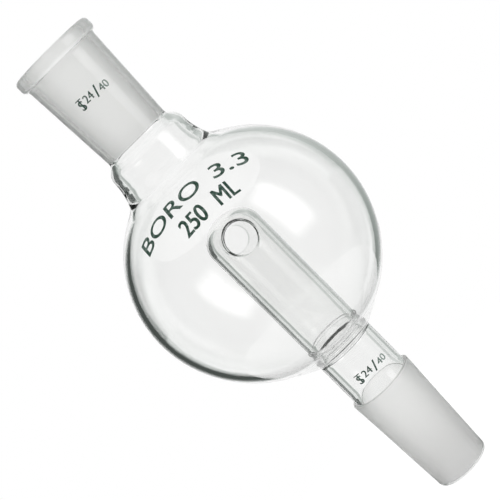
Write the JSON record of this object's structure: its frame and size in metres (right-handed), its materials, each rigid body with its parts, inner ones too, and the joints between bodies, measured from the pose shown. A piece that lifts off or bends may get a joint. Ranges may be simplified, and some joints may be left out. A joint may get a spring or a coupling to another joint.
{
  "type": "rotary evaporator bump trap",
  "caption": "Clear glass bump trap: a round bulb with an inner vapour tube, between a ground taper socket and a ground taper cone.",
  "frame": {"origin": "centre of the socket's mouth, in the plane of its collar's top face", "axes": "+Z along the glass's axis, up and out of the socket; the larger side hole of the vapour tube faces -Y"},
  "size_m": [0.0834, 0.0834, 0.1913],
  "materials": {
    "clear_glass": "fire-polished clear borosilicate",
    "ground_glass": "ground, matt"
  },
  "bodies": {
    "root": {"outer_joint": "ground_glass", "upper_neck": "clear_glass", "bulb": "clear_glass", "vapour_tube": "clear_glass", "ring_seal": "clear_glass", "lower_neck": "clear_glass", "inner_joint": "ground_glass"}
  },
  "joints": []
}
